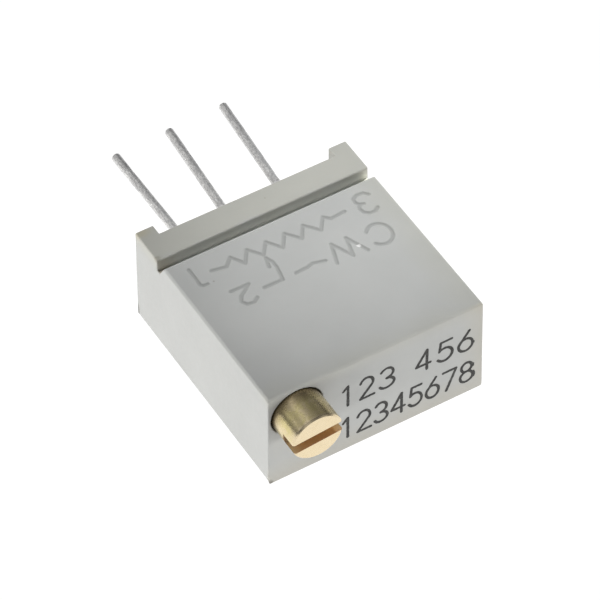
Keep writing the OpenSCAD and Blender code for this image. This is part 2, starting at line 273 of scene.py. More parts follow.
GLYPHS = {
    "0": (0.62, [ellipse(0.31, 0.5, 0.31, 0.5, 0, 360, 36)]),
    "1": (0.30, [[(0.02, 0.80), (0.20, 1.0), (0.20, 0.0)]]),
    "2": (0.58, [ellipse(0.29, 0.72, 0.27, 0.28, 165, -35, 18) + [(0.02, 0.0), (0.60, 0.0)]]),
    "3": (0.58, [ellipse(0.28, 0.745, 0.25, 0.255, 150, -90, 16), ellipse(0.28, 0.245, 0.29, 0.245, 90, -155, 18)]),
    "4": (0.64, [[(0.48, 0.0), (0.48, 1.0), (0.0, 0.28), (0.64, 0.28)]]),
    "5": (0.58, [[(0.54, 1.0), (0.12, 1.0), (0.07, 0.56)] + ellipse(0.27, 0.33, 0.30, 0.33, 125, -150, 20)]),
    "6": (0.60, [ellipse(0.30, 0.31, 0.29, 0.31, 0, 360, 30), [(0.45, 1.0), (0.20, 0.66), (0.04, 0.42)]]),
    "7": (0.58, [[(0.0, 1.0), (0.58, 1.0), (0.16, 0.0)]]),
    "8": (0.60, [ellipse(0.30, 0.76, 0.24, 0.24, 0, 360, 28), ellipse(0.30, 0.26, 0.29, 0.27, 0, 360, 30)]),
    "9": (0.60, [ellipse(0.30, 0.69, 0.29, 0.31, 0, 360, 30), [(0.15, 0.0), (0.40, 0.34), (0.56, 0.58)]]),
    "C": (0.86, [ellipse(0.50, 0.5, 0.48, 0.5, 52, 308, 28)]),
    "W": (1.10, [[(0.0, 1.0), (0.26, 0.0), (0.55, 0.92), (0.84, 0.0), (1.10, 1.0)]]),
}


def glyph(ch, place):
    """The glyph's strokes as segments, its unit box placed by place(u, v)."""
    return [s for stroke in GLYPHS[ch][1] for s in polyline([place(u, v) for u, v in stroke])]


# ------------------------------------------------------------------ exact normals: flat faces stay flat, rounded edges run smoothly into them
def exact_normals(ob, flat_area=2e-3, smooth_deg=42):
    mesh = ob.data
    n_loops, n_polys, n_verts = len(mesh.loops), len(mesh.polygons), len(mesh.vertices)
    loop_vert = np.zeros(n_loops, np.int64)
    mesh.loops.foreach_get("vertex_index", loop_vert)
    normal = np.zeros(n_polys * 3)
    mesh.polygons.foreach_get("normal", normal)
    normal = normal.reshape(-1, 3)
    area = np.zeros(n_polys)
    mesh.polygons.foreach_get("area", area)
    start, total = np.zeros(n_polys, np.int64), np.zeros(n_polys, np.int64)
    mesh.polygons.foreach_get("loop_start", start)
    mesh.polygons.foreach_get("loop_total", total)
    loop_poly = np.repeat(np.arange(n_polys), total)
    axis_flat = np.abs(normal).max(1) > 0.999999
    # the faces that lie flat along an axis
    flat = axis_flat.copy()
    by_vert = [[] for _ in range(n_verts)]
    for l, v in enumerate(loop_vert.tolist()):
        by_vert[v].append(l)
    out = np.zeros((n_loops, 3))
    cos_limit = math.cos(math.radians(smooth_deg))
    poly_of = loop_poly.tolist()
    for v in range(n_verts):
        ls = by_vert[v]
        if not ls:
            continue
        ps = [poly_of[l] for l in ls]
        fl = sorted({p for p in ps if flat[p]}, key=lambda p: -area[p])
        for l, p in zip(ls, ps):
            n = normal[p]
            if flat[p]:
                out[l] = n
                continue
            pick = None
            for q in fl:
                if float(normal[q] @ n) > cos_limit:
                    pick = normal[q]
                    break
            if pick is None:
                near = [q for q in ps if float(normal[q] @ n) > cos_limit]
                pick = (normal[near] * area[near][:, None]).sum(0)
                k = np.linalg.norm(pick)
                pick = pick / k if k > 1e-12 else n
            out[l] = pick
    for p in mesh.polygons:
        p.use_smooth = True
    mesh.normals_split_custom_set([tuple(x) for x in out])
    return ob


def scale_to_metres(ob):
    ob.data.transform(Matrix.Scale(1 / MM, 4))
    ob.data.update()
    return ob


# ------------------------------------------------------------------ node materials
def material(name):
    m = bpy.data.materials.new(name)
    m.use_nodes = True
    t = m.node_tree
    bsdf = next(n for n in t.nodes if n.type == "BSDF_PRINCIPLED")
    return m, t, bsdf


def node(t, kind, **settings):
    n = t.nodes.new(kind)
    for k, v in settings.items():
        if k.startswith("in_"):
            key = k[3:]
            n.inputs[int(key) if key.isdigit() else key].default_value = v
        else:
            setattr(n, k, v)
    return n


def in_mm(t, offset=(0, 0, 0), scale=(1, 1, 1)):
    """Object coordinates in millimetres, with the origin moved to offset."""
    c = node(t, "ShaderNodeTexCoord")
    m = node(t, "ShaderNodeMapping")
    m.inputs["Location"].default_value = [-o * s for o, s in zip(offset, scale)]
    m.inputs["Scale"].default_value = [MM * s for s in scale]
    t.links.new(c.outputs["Object"], m.inputs["Vector"])
    return m.outputs["Vector"]


def noise(t, vec, scale, detail=3.0, rough=0.55, distortion=0.0):
    n = node(t, "ShaderNodeTexNoise")
    n.inputs["Scale"].default_value = scale
    n.inputs["Detail"].default_value = detail
    n.inputs["Roughness"].default_value = rough
    n.inputs["Distortion"].default_value = distortion
    t.links.new(vec, n.inputs["Vector"])
    return n.outputs["Fac"]


def span(t, fac, lo, hi, a, b):
    """Maps fac from lo..hi to a..b, clamped."""
    n = node(t, "ShaderNodeMapRange")
    n.clamp = True
    for k, v in (("From Min", lo), ("From Max", hi), ("To Min", a), ("To Max", b)):
        n.inputs[k].default_value = v
    t.links.new(fac, n.inputs["Value"])
    return n.outputs["Result"]


def mix(t, fac, a, b, blend="MIX"):
    n = node(t, "ShaderNodeMix", data_type="RGBA", blend_type=blend)
    for socket, v in ((n.inputs[0], fac), (n.inputs[6], a), (n.inputs[7], b)):
        if isinstance(v, bpy.types.NodeSocket):
            t.links.new(v, socket)
        elif isinstance(v, (int, float)):
            socket.default_value = v
        else:
            socket.default_value = (*v, 1.0)
    return n.outputs[2]


def math_node(t, op, a, b=None):
    n = node(t, "ShaderNodeMath", operation=op)
    for socket, v in zip(n.inputs, (a, b)):
        if v is None:
            continue
        if isinstance(v, bpy.types.NodeSocket):
            t.links.new(v, socket)
        else:
            socket.default_value = v
    return n.outputs[0]


def bump(t, bsdf, height, distance_m, strength=1.0, normal=None):
    n = node(t, "ShaderNodeBump")
    n.inputs["Strength"].default_value = strength
    n.inputs["Distance"].default_value = distance_m
    t.links.new(height, n.inputs["Height"])
    if normal:
        t.links.new(normal, n.inputs["Normal"])
    if bsdf:
        t.links.new(n.outputs["Normal"], bsdf.inputs["Normal"])
    return n.outputs["Normal"]


def spot(t, centre, radii, soft=0.5, ragged=0.35):
    """1 inside an uneven ellipsoid round a point on the part, fading to 0 at its edge."""
    near = node(t, "ShaderNodeVectorMath", operation="LENGTH")
    t.links.new(in_mm(t, offset=centre, scale=[1 / r for r in radii]), near.inputs[0])
    wobble = math_node(t, "MULTIPLY", math_node(t, "SUBTRACT", noise(t, in_mm(t), 2.2 / min(radii), 2.0), 0.5), ragged * 2)
    return span(t, math_node(t, "ADD", near.outputs["Value"], wobble), 1 - soft, 1.0, 1.0, 0.0)


def between(t, value, lo, hi, soft):
    """1 while a coordinate lies between two bounds, with soft ends."""
    return math_node(t, "MULTIPLY", span(t, value, lo - soft, lo + soft, 0.0, 1.0), span(t, value, hi - soft, hi + soft, 1.0, 0.0))


def plastic(name, colour, warm=None, rough=(0.46, 0.58), grain=2.2e-6, spec=0.5, mottle=0.05):
    """Moulded plastic: cloudy tone, fine speckle, satin grain; warm is the tint of the thin end behind the groove, and
    with it come painted shade, painted light and a painted glint on the housing.
    """
    m, t, b = material(name)
    v = in_mm(t)
    cloud = noise(t, v, 0.55, 4.0, 0.5)
    dark = [c * (1 - mottle) for c in colour]
    light = [min(1, c * (1 + mottle)) for c in colour]
    base = mix(t, span(t, cloud, 0.3, 0.7, 0.0, 1.0), dark, light)
    speck = noise(t, v, 34.0, 2.0, 0.6)
    base = mix(t, span(t, speck, 0.62, 0.80, 0.0, 0.35), base, [c * 0.80 for c in colour])
    if warm:
        # a yellower tone on the marked face behind the groove and faintly along that face's edges
        s = node(t, "ShaderNodeSeparateXYZ")
        t.links.new(v, s.inputs[0])
        waver = math_node(t, "MULTIPLY", math_node(t, "SUBTRACT", noise(t, v, 0.9, 3.0), 0.5), 0.9)
        behind = span(t, math_node(t, "ADD", s.outputs["Y"], waver), 3.0, 3.4, 0.0, 1.0)
        right = span(t, math_node(t, "ADD", s.outputs["X"], waver), 3.3, 4.7, 0.0, 0.75)
        front = span(t, math_node(t, "ADD", s.outputs["Y"], waver), -4.9, -4.1, 0.6, 0.0)
        high = span(t, s.outputs["Z"], 4.1, 4.7, 0.0, 1.0)
        tint = math_node(t, "MULTIPLY", high, math_node(t, "MAXIMUM", behind, math_node(t, "MAXIMUM", right, front)))
        base = mix(t, tint, base, mix(t, span(t, cloud, 0.3, 0.7, 0.0, 1.0), [c * (1 - mottle) for c in warm], [c * (1 + mottle) for c in warm]))
        # a beige bloom at the foot's corner and along the screw face's lower and right edges
        low_front = math_node(t, "MAXIMUM", span(t, math_node(t, "ADD", s.outputs["Z"], waver), 0.15, 1.3, 1.0, 0.0), span(t, math_node(t, "ADD", s.outputs["X"], waver), 3.7, 4.7, 0.0, 1.0))
        bloom = math_node(t, "MULTIPLY", span(t, s.outputs["Y"], -5.0, -4.9, 0.9, 0.0), low_front)
        base = mix(t, bloom, base, mix(t, 1.0, base, (1.04, 1.0, 0.925), "MULTIPLY"))
        base = mix(t, spot(t, (-4.6, 4.9, TOP), (0.6, 0.34, 0.3), 0.8), base, mix(t, 1.0, base, (1.05, 1.0, 0.88), "MULTIPLY"))
        # the moulded lines are painted darker inside: painted shade in the sunk lines
        face = math_node(t, "MULTIPLY", between(t, s.outputs["X"], -4.5, 4.5, 0.05), between(t, s.outputs["Y"], -4.8, 2.6, 0.03))
        sunk_line_shade = math_node(t, "MULTIPLY", face, math_node(t, "MULTIPLY", span(t, s.outputs["Z"], TOP - 0.038, TOP - 0.004, 0.72, 0.0), span(t, s.outputs["Z"], TOP - 0.30, TOP - 0.20, 0.0, 1.0)))
        base = mix(t, sunk_line_shade, base, mix(t, 1.0, base, (0.76, 0.76, 0.755), "MULTIPLY"))
        # the groove is painted paler low down and at its right end, a painted fill light, and browner at its left end,
        # a painted shade
        groove_painted_light_shade = math_node(t, "MULTIPLY", between(t, s.outputs["Y"], 2.84, 3.335, 0.05), math_node(t, "MULTIPLY", span(t, s.outputs["Z"], TOP - 0.16, TOP - 0.05, 1.0, 0.0), span(t, s.outputs["Z"], TOP - G_DEEP - 0.03, TOP - G_DEEP - 0.01, 0.0, 1.0)))
        groove_painted_light_shade = math_node(t, "MULTIPLY", groove_painted_light_shade, between(t, s.outputs["X"], -HW + 0.02, HW - 0.02, 0.015))
        end = span(t, math_node(t, "ADD", s.outputs["X"], waver), -4.5, -3.8, 1.0, 0.0)
        groove_right_end_light = span(t, s.outputs["X"], 4.25, 4.6, 0.0, 1.0)
        low = span(t, s.outputs["Z"], TOP - G_DEEP + 0.10, TOP - 0.22, 1.0, 0.0)
        base = mix(t, groove_painted_light_shade, base, mix(t, 1.0, base, (1.07, 1.07, 1.06), "MULTIPLY"))
        # painted light low in the groove
        base = mix(t, math_node(t, "MULTIPLY", groove_painted_light_shade, low), base, mix(t, 1.0, base, (1.38, 1.38, 1.35), "MULTIPLY"))
        # painted light at the groove's right end
        base = mix(t, math_node(t, "MULTIPLY", groove_painted_light_shade, groove_right_end_light), base, mix(t, 1.0, base, (1.50, 1.48, 1.40), "MULTIPLY"))
        # painted shade at the groove's left end
        base = mix(t, math_node(t, "MULTIPLY", groove_painted_light_shade, end), base, mix(t, 1.0, base, (0.56, 0.52, 0.46), "MULTIPLY"))
        # two bottom corners darker, the front one a painted contact shadow, and a few specks
        for centre, radii, shade in [((-4.765, 5.01, 0.50), (0.20, 0.14, 0.46), 0.40), ((-4.765, -5.01, 0.06), (0.20, 0.20, 0.24), 0.50), ((-4.74, 3.40, 4.80), (0.26, 0.18, 0.18), 0.80),
                                     ((-3.43, 1.26, TOP), (0.055, 0.055, 0.1), 0.74), ((0.47, 4.0, TOP), (0.045, 0.045, 0.1), 0.82)]:
            base = mix(t, spot(t, centre, radii), base, mix(t, 1.0, base, (shade, shade * 0.97, shade * 0.92), "MULTIPLY"))
        # a nick in the W, painted pale as a glint: a painted highlight
        nick_painted_glint = spot(t, (2.28, -0.02, TOP - 0.03), (0.115, 0.095, 0.14), 0.4)
        base = mix(t, nick_painted_glint, base, (0.68, 0.68, 0.67))
    t.links.new(base, b.inputs["Base Color"])
    t.links.new(span(t, noise(t, v, 5.0, 5.0), 0.3, 0.7, rough[0], rough[1]), b.inputs["Roughness"])
    b.inputs["Specular IOR Level"].default_value = spec
    fine = noise(t, v, 16.0, 5.0, 0.6)
    broad = noise(t, v, 1.1, 2.0, 0.5)
    first = bump(t, None, broad, 1.2e-5)
    bump(t, b, fine, grain, 1.0, first)
    return m


def metal(name, colour, second, rough=(0.2, 0.32), grain=1.5e-6, scale=9.0, stretch=(1, 1, 1), mottle=(0.35, 0.65)):
    """Metal with a mottled tone and a fine surface; stretch draws the pattern out along an axis."""
    m, t, b = material(name)
    v = in_mm(t, scale=stretch)
    n = noise(t, v, scale, 5.0, 0.6, 0.4)
    t.links.new(mix(t, span(t, n, mottle[0], mottle[1], 0.0, 1.0), colour, second), b.inputs["Base Color"])
    b.inputs["Metallic"].default_value = 1.0
    t.links.new(span(t, noise(t, v, scale * 2.1, 4.0), 0.3, 0.7, rough[0], rough[1]), b.inputs["Roughness"])
    bump(t, b, n, grain)
    return m


HOUSING_RGB = (0.420, 0.428, 0.420)
M = {}
M["housing_plastic"] = plastic("housing_plastic", HOUSING_RGB, warm=(0.415, 0.417, 0.384), mottle=0.025)


def brass():
    """Turned brass: fine lathe rings, faint bands along the side, and a duller sawn slot, with painted light and
    painted shade in the slot and painted shade at the head's root.
    """
    m, t, b = material("screw_brass")
    v = in_mm(t, offset=(SX, 0, SZ))
    n = noise(t, v, 3.2, 4.0, 0.6, 0.3)
    base = mix(t, span(t, n, 0.35, 0.68, 0.0, 1.0), (0.81, 0.68, 0.46), (0.78, 0.645, 0.42))
    # the slot lies a few degrees off level, so its middle plane is measured in turned axes
    s = node(t, "ShaderNodeSeparateXYZ")
    t.links.new(v, s.inputs[0])
    tilt = math.radians(SLOT_TILT)
    off = math_node(t, "ABSOLUTE", math_node(t, "SUBTRACT", math_node(t, "MULTIPLY", math_node(t, "SUBTRACT", s.outputs["Z"], SLOT_OFF), math.cos(tilt)), math_node(t, "MULTIPLY", s.outputs["X"], math.sin(tilt))))
    in_slot = math_node(t, "MULTIPLY", span(t, off, 0.236, 0.246, 1.0, 0.0), span(t, s.outputs["Y"], Y_HEAD + 0.74, Y_HEAD + 0.76, 1.0, 0.0))
    # olive tarnish in flecks along the head's side; browner where it goes into the housing, a painted shade
    side = span(t, s.outputs["Y"], Y_HEAD + 0.06, Y_HEAD + 0.20, 0.0, 1.0)
    fleck = noise(t, in_mm(t, offset=(SX, 0, SZ), scale=(1, 0.6, 1)), 3.0, 4.0, 0.60, 0.5)
    base = mix(t, math_node(t, "MULTIPLY", side, span(t, fleck, 0.38, 0.60, 0.25, 0.95)), base, (0.72, 0.62, 0.31))
    root_painted_shade = span(t, math_node(t, "ADD", s.outputs["Y"], math_node(t, "MULTIPLY", math_node(t, "SUBTRACT", fleck, 0.5), 0.5)), Y0 - 0.60, Y0 - 0.14, 0.0, 0.88)
    base = mix(t, root_painted_shade, base, (0.36, 0.28, 0.17))
    saw = noise(t, v, 9.0, 4.0, 0.65)
    cut = mix(t, span(t, saw, 0.3, 0.7, 0.0, 1.0), (0.80, 0.46, 0.21), (0.95, 0.62, 0.32))
    # painted light: the slot is paler near its left opening
    cut = mix(t, span(t, math_node(t, "ADD", s.outputs["X"], math_node(t, "MULTIPLY", math_node(t, "SUBTRACT", saw, 0.5), 0.3)), -0.95, -0.62, 1.0, 0.0), cut, (0.95, 0.80, 0.56))
    # painted shade: the slot is darker at its inner end
    cut = mix(t, math_node(t, "MULTIPLY", span(t, s.outputs["Y"], Y_HEAD + 0.56, Y_HEAD + 0.70, 0.0, 1.0), span(t, saw, 0.35, 0.55, 0.6, 1.0)), cut, (0.22, 0.14, 0.07))
    base = mix(t, in_slot, base, cut)
    t.links.new(base, b.inputs["Base Color"])
    t.links.new(span(t, in_slot, 0.0, 1.0, 1.0, 0.45), b.inputs["Metallic"])
    rings = node(t, "ShaderNodeTexWave", wave_type="RINGS", rings_direction="Y")
    rings.inputs["Scale"].default_value = 3.6
    rings.inputs["Distortion"].default_value = 1.4
    rings.inputs["Detail"].default_value = 2.0
    t.links.new(v, rings.inputs["Vector"])
    bands = node(t, "ShaderNodeTexWave", wave_type="BANDS", bands_direction="Y")
    bands.inputs["Scale"].default_value = 4.5
    bands.inputs["Distortion"].default_value = 2.0
    bands.inputs["Detail"].default_value = 2.0
    t.links.new(v, bands.inputs["Vector"])
    satin = span(t, noise(t, v, 11.0, 4.0), 0.3, 0.7, 0.19, 0.33)
    rough = node(t, "ShaderNodeMix", data_type="FLOAT")
    t.links.new(in_slot, rough.inputs[0])
    t.links.new(satin, rough.inputs[2])
    t.links.new(span(t, saw, 0.3, 0.7, 0.42, 0.58), rough.inputs[3])
    t.links.new(rough.outputs[0], b.inputs["Roughness"])
    one = bump(t, None, rings.outputs["Fac"], 1.0e-6)
    two = bump(t, None, bands.outputs["Fac"], 1.2e-6, 1.0, one)
    bump(t, b, noise(t, v, 9.0, 3.0), 0.55e-6, 1.0, two)
    return m


M["screw_brass"] = brass()
M["seal_rubber"] = plastic("seal_rubber", (0.42, 0.07, 0.035), rough=(0.5, 0.62), grain=1.5e-6, spec=0.4)
M["clip_steel"] = metal("clip_steel", (0.60, 0.60, 0.61), (0.50, 0.50, 0.52), (0.28, 0.4), stretch=(1, 1, 0.2))
M["rotor_plastic"] = plastic("rotor_plastic", (0.80, 0.78, 0.71), rough=(0.38, 0.5), grain=1.2e-6)
M["contact_alloy"] = metal("contact_alloy", (0.74, 0.63, 0.42), (0.64, 0.55, 0.38), (0.22, 0.34))
M["ceramic"] = plastic("ceramic", (0.84, 0.83, 0.79), rough=(0.55, 0.68), grain=2.0e-6, spec=0.45, mottle=0.03)
M["resistive_film"] = plastic("resistive_film", (0.035, 0.033, 0.032), rough=(0.28, 0.42), grain=2.5e-6, mottle=0.15)
M["conductive_film"] = metal("conductive_film", (0.60, 0.59, 0.56), (0.50, 0.49, 0.47), (0.42, 0.55), grain=2.5e-6, scale=14.0)
M["solder"] = metal("solder", (0.66, 0.66, 0.65), (0.56, 0.56, 0.56), (0.24, 0.36), grain=2.5e-6, scale=5.0)
M["base_plastic"] = plastic("base_plastic", (0.36, 0.37, 0.37))


def tinned():
    """Dip-tinned wire: grey, lumpy along its length, with dull and bright patches."""
    m, t, b = material("tinned_lead")
    v = in_mm(t, scale=(1, 0.45, 1))
    coarse = noise(t, v, 4.2, 5.0, 0.62, 0.6)
    fine = noise(t, v, 19.0, 4.0, 0.6, 0.2)
    base = mix(t, span(t, coarse, 0.36, 0.66, 0.0, 1.0), (0.62, 0.62, 0.62), (0.86, 0.86, 0.85))
    base = mix(t, span(t, fine, 0.42, 0.58, 0.60, 0.0), base, (0.36, 0.36, 0.37))
    t.links.new(base, b.inputs["Base Color"])
    b.inputs["Metallic"].default_value = 0.45
    t.links.new(span(t, coarse, 0.3, 0.7, 0.50, 0.30), b.inputs["Roughness"])
    bump(t, b, math_node(t, "ADD", coarse, math_node(t, "MULTIPLY", fine, 0.5)), 7e-6)
    return m


M["tinned_lead"] = tinned()


def epoxy():
    m, t, b = material("sealant")
    v = in_mm(t)
    n = noise(t, v, 1.4, 4.0, 0.55, 0.5)
    t.links.new(mix(t, span(t, n, 0.3, 0.7, 0.0, 1.0), (0.60, 0.55, 0.40), (0.68, 0.64, 0.50)), b.inputs["Base Color"])
    t.links.new(span(t, noise(t, v, 3.0, 3.0), 0.3, 0.7, 0.16, 0.32), b.inputs["Roughness"])
    b.inputs["Coat Weight"].default_value = 0.25
    b.inputs["Coat Roughness"].default_value = 0.15
    bump(t, b, noise(t, v, 2.2, 3.0), 6e-6)
    return m


M["sealant"] = epoxy()


def ink():
    m, t, b = material("print_ink")
    v = in_mm(t)
    n = noise(t, v, 7.0, 5.0, 0.65)
    t.links.new(mix(t, span(t, n, 0.40, 0.72, 0.0, 1.0), (0.026, 0.026, 0.025), (0.088, 0.088, 0.084)), b.inputs["Base Color"])
    t.links.new(span(t, n, 0.3, 0.7, 0.55, 0.75), b.inputs["Roughness"])
    b.inputs["Specular IOR Level"].default_value = 0.3
    bump(t, b, n, 1.5e-6)
    return m


INK = ink()


def dress(ob, mat):
    ob.data.materials.clear()
    ob.data.materials.append(mat)
    return ob


# ------------------------------------------------------------------ housing
def housing():
    f = FOOT_W
    plan = [(-HW, Y0), (HW, Y0), (HW, Y1), (HW - f, Y1), (HW - f, Y_SEAL), (-HW + f, Y_SEAL), (-HW + f, Y1), (-HW, Y1)]
    ob = prism("housing_shell", plan, "Z", 0, TOP)
    lip = TOP + 0.4
    fl = G_WALL - G_FLOOR
    boolean(ob, prism("c", [(G_WALL, lip), (fl - G_SLOPE * (lip - TOP + G_DEEP) / G_DEEP, lip), (fl, TOP - G_DEEP), (G_WALL, TOP - G_DEEP)], "X", -HW - 1, HW + 1))
    # round every outside edge by its own radius
    bm = bmesh.new()
    bm.from_mesh(ob.data)
    bmesh.ops.remove_doubles(bm, verts=bm.verts, dist=1e-5)
    bmesh.ops.dissolve_limit(bm, angle_limit=math.radians(1), verts=bm.verts, edges=bm.edges)
    layer = bm.edges.layers.float.get("bevel_weight_edge") or bm.edges.layers.float.new("bevel_weight_edge")
    widest = 0.38
    for e in bm.edges:
        a, b = e.verts[0].co, e.verts[1].co
        mid = (a + b) / 2
        d = b - a
        along = max(range(3), key=lambda i: abs(d[i]))
        in_groove = G_WALL - 0.6 < mid.y < G_WALL + 0.01 and mid.z > TOP - G_DEEP - 0.01
        r = 0.14
        if in_groove and along != 1:
            r = 0.045
            if abs(mid.z - TOP) < 1e-3:
                r = 0.09 if mid.y < G_WALL - 0.3 else 0.08
        elif in_groove:
            r = 0.045 if mid.z < TOP - 0.05 else 0.13
        elif along == 0:
            if abs(mid.y - Y_SEAL) < 1e-3:
                r = 0.05
            elif mid.z < 0.01:
                r = 0.05 if mid.y < 0 else 0.12
            elif mid.y > 0:
                r = 0.05
        elif along == 1:
            if abs(abs(mid.x) - (HW - FOOT_W)) < 1e-3 or (mid.z > 1 and mid.y > G_WALL):
                r = 0.06
            elif mid.z < 0.01:
                r = 0.36 if mid.x > 0 else 0.31
            else:
                r = 0.13
        else:
            r = 0.035 if mid.y < 0 and mid.x > 0 else 0.05
        e[layer] = r / widest
    bm.to_mesh(ob.data)
    bm.free()
    m = ob.modifiers.new("round", "BEVEL")
    m.limit_method, m.width, m.segments, m.profile, m.use_clamp_overlap = "WEIGHT", widest, 6, 0.5, True
    bpy.context.view_layer.update()
    bake_modifiers(ob)
    # the space inside: cavity, less the walls that stand in it, plus the screw's way
    void = make_box("v", -CAV_X, CAV_X, CAV_Y, Y1 + 1, CAV_Z0, CAV_Z1)
    for k, b in enumerate([(-CAV_X - 0.1, -2.20, CAV_Y - 0.1, -2.90, 2.50, CAV_Z1 + 0.1), (-CAV_X - 0.1, -2.92, 1.35, 2.10, 2.75, CAV_Z1 + 0.1),
                           (ROTOR[0] - 1, ROTOR[0] + 1, CAV_Y - 0.1, ROTOR[1] - 2.82, 2.87, 3.08),
                           *[(x - 0.25, x + 0.25, CAV_Y - 0.1, 3.60, CAV_Z0 - 0.1, 1.585) for x in (-3.6, 0, 3.6)]]):
        boolean(void, make_box(f"b{k}", *b))
    rb, ys = HEAD_R + 0.03, Y0 + 0.295
    lip_r = 0.065
    way = [(0, Y0 - 1.2), (rb + lip_r, Y0 - 1.2)] + [(rb + lip_r * (1 - math.sin(math.radians(a))), Y0 + lip_r * (1 - math.cos(math.radians(a)))) for a in (0, 15, 30, 45, 60, 75, 90)]
    way += [(rb, ys), (0.95, ys), (0.95, 1.35), (0.38, 1.35), (0.38, 2.03), (0, 2.03)]
    boolean(void, lathe("w", way, 144, SX, SZ), "UNION")
    boolean(void, make_box("s", SX - 1.02, SX + 1.02, -3.665, -3.375, 2.40, 4.14), "UNION")
    boolean(ob, void)
    return ob


# Strokes of the moulded diagram on the marked face. It reads from the lead end, so its glyphs are turned half round.
def diagram():
    segs = []
    # 1, with its foot
    segs += polyline([(-3.96, 2.27), (-3.95, 1.87), (-3.97, 1.40), (-3.88, 1.27), (-3.70, 1.27)])
    # end lead, resistance, end lead
    segs += polyline([(-3.24, 1.78), (-2.63, 1.66), (-2.28, 2.02), (-1.92, 1.44), (-1.53, 2.02), (-1.11, 1.44), (-0.70, 2.00), (-0.27, 1.38), (0.14, 2.00),
                      (0.60, 1.41), (0.97, 2.00), (1.45, 1.40), (1.86, 1.96), (2.09, 1.73), (2.74, 1.78)])
    # 3, turned half round
    segs += polyline([(4.03, 2.06), (3.86, 2.24), (3.57, 2.27), (3.36, 2.16), (3.32, 1.97), (3.42, 1.80), (3.60, 1.74)])
    segs += polyline([(3.42, 1.80), (3.30, 1.60), (3.35, 1.36), (3.54, 1.20), (3.77, 1.18), (3.96, 1.31)])
    # wiper: arrow head on the resistance, stem, and the line to lead 2
    segs += polyline([(-1.12, 1.30), (-1.24, 0.80)])
    segs += polyline([(-1.12, 1.30), (-1.00, 0.98), (-1.00, 0.68), (-1.08, 0.22), (-1.13, -0.03), (-1.95, -0.02)])
    # 2, turned half round
    segs += polyline([(-3.15, 0.47), (-2.36, 0.46), (-2.62, 0.26), (-2.92, 0.07), (-3.06, -0.18), (-2.93, -0.42), (-2.63, -0.46), (-2.42, -0.30)])
    # dash with a slight step, pointing to the letters
    segs += polyline([(-0.53, 0.0), (0.02, 0.02), (0.27, 0.10), (0.77, -0.05)])
    segs += polyline([(1.08, -0.40), (1.39, 0.58), (1.83, -0.38), (2.05, 0.57), (2.46, -0.42)])
    segs += polyline(ellipse(3.27, 0.06, 0.50, 0.56, 142, -142, 28))
    return segs


LINE_LEVELS = [(0.115, 0.0), (0.094, -0.009), (0.070, -0.027), (0.044, -0.043), (0.018, -0.049)]


def engrave(ob, segs):
    """Puts the diagram into the marked face: the flat face is remade with the lines as shallow round-bottomed channels."""
    bm = bmesh.new()
    bm.from_mesh(ob.data)
    bm.faces.ensure_lookup_table()
    face = max((f for f in bm.faces if f.normal.z > 0.9999 and abs(f.calc_center_median().z - TOP) < 1e-3 and f.calc_center_median().y < G_WALL - 0.4), key=lambda f: f.calc_area())
    rim = list(face.verts)
    bm.faces.remove(face)
    h = 0.02
    d, x0, y0 = stroke_field(segs, 0.19, h)
    pts, edges = [tuple(v.co.xy) for v in rim], [(i, (i + 1) % len(rim)) for i in range(len(rim))]
    for level, _ in LINE_LEVELS:
        for loop in contours(d, x0, y0, h, level):
            loop = thin(loop, 0.024)
            k = len(pts)
            pts += loop
            edges += [(k + i, k + (i + 1) % len(loop)) for i in range(len(loop))]
    verts, _, faces, source, _, _ = delaunay_2d_cdt([Vector(p) for p in pts], edges, [], 0, 1e-7, True)
    co = np.array([tuple(v) for v in verts])
    dist = distance(co[:, 0], co[:, 1], segs)
    levels = [l for l, _ in LINE_LEVELS]
    depth = np.interp(dist, levels[::-1], [z for _, z in LINE_LEVELS][::-1])
    depth[dist > levels[0] - 2e-3] = 0.0
    made = []
    for i, v in enumerate(verts):
        rim_id = next((s for s in source[i] if s < len(rim)), None)
        made.append(rim[rim_id] if rim_id is not None else bm.verts.new((v.x, v.y, TOP + depth[i])))
    for f in faces:
        vs = [made[i] for i in f]
        if len(set(vs)) < 3:
            continue
        a, b, c = (Vector(v.co) for v in vs[:3])
        if (b - a).cross(c - a).z < 0:
            vs.reverse()
        try:
            bm.faces.new(vs)
        except ValueError:
            pass
    bm.to_mesh(ob.data)
    bm.free()
    ob.data.update()
    return ob


def draft(ob):
    """The mould's draft: the outer sides stand out a few hundredths of a millimetre towards the bottom."""
    for v in ob.data.vertices:
        low = 1 - v.co.z / TOP
        if v.co.x > 4.38:
            v.co.x += 0.075 * low
        elif v.co.x < -4.38:
            v.co.x -= 0.050 * low
        if v.co.y > 4.85:
            v.co.y += 0.035 * low
        elif v.co.y < Y0 + 0.14:
            v.co.y -= 0.025 * low
    return ob


shell = draft(engrave(housing(), diagram()))
scale_to_metres(exact_normals(shell))
dress(shell, M["housing_plastic"])
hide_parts("housing")
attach(shell, "body")


# ------------------------------------------------------------------ printed digits on the screw face
def digit_row(text, slots, z, height):
    """One digit in each slot, a slot being its lowest and highest x."""
    segs = []
    for ch, (x0, x1) in zip(text, slots):
        w = GLYPHS[ch][0]
        k = min((x1 - x0) / w, height * 1.06)
        c = (x0 + x1) / 2 - w * k / 2
        segs += glyph(ch, lambda u, v, c=c, k=k: (c + u * k, z + v * height))
    return segs


